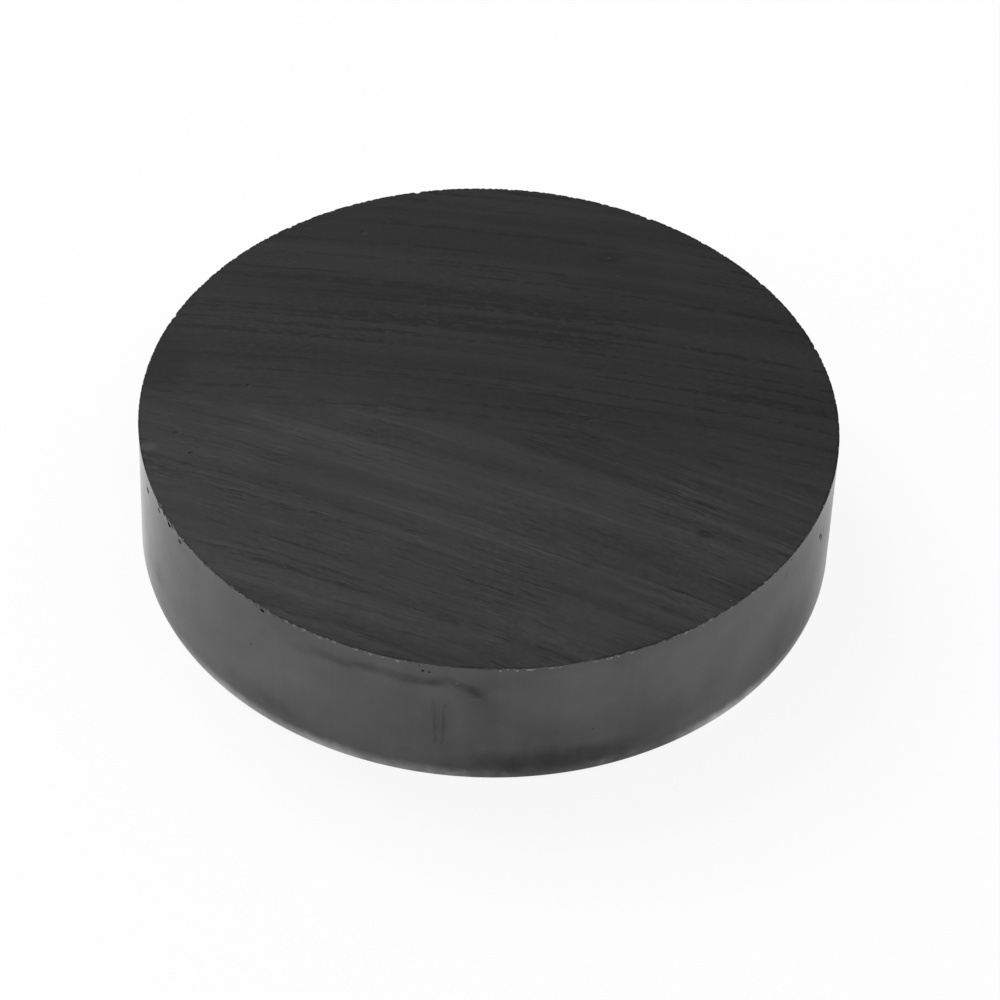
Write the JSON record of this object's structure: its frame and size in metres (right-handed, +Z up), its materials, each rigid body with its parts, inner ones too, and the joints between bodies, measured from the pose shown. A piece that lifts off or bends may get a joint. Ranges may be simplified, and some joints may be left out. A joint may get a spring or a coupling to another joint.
{
  "type": "disc magnet",
  "caption": "Plain flat disc magnet of dark sintered ferrite, with ground pole faces and a smooth as-sintered side.",
  "frame": {"origin": "centre of the lower pole face, which the disc rests on", "axes": "+Z up along the disc's axis, from the lower pole face to the upper one; -Y is the side seen from the front, with +X to the right"},
  "size_m": [0.045, 0.045, 0.01],
  "materials": {
    "ferrite": "charcoal grey sintered ferrite, pole faces ground and matt, side as sintered with a low sheen"
  },
  "bodies": {
    "root": {"disc_magnet": "ferrite"}
  },
  "joints": []
}
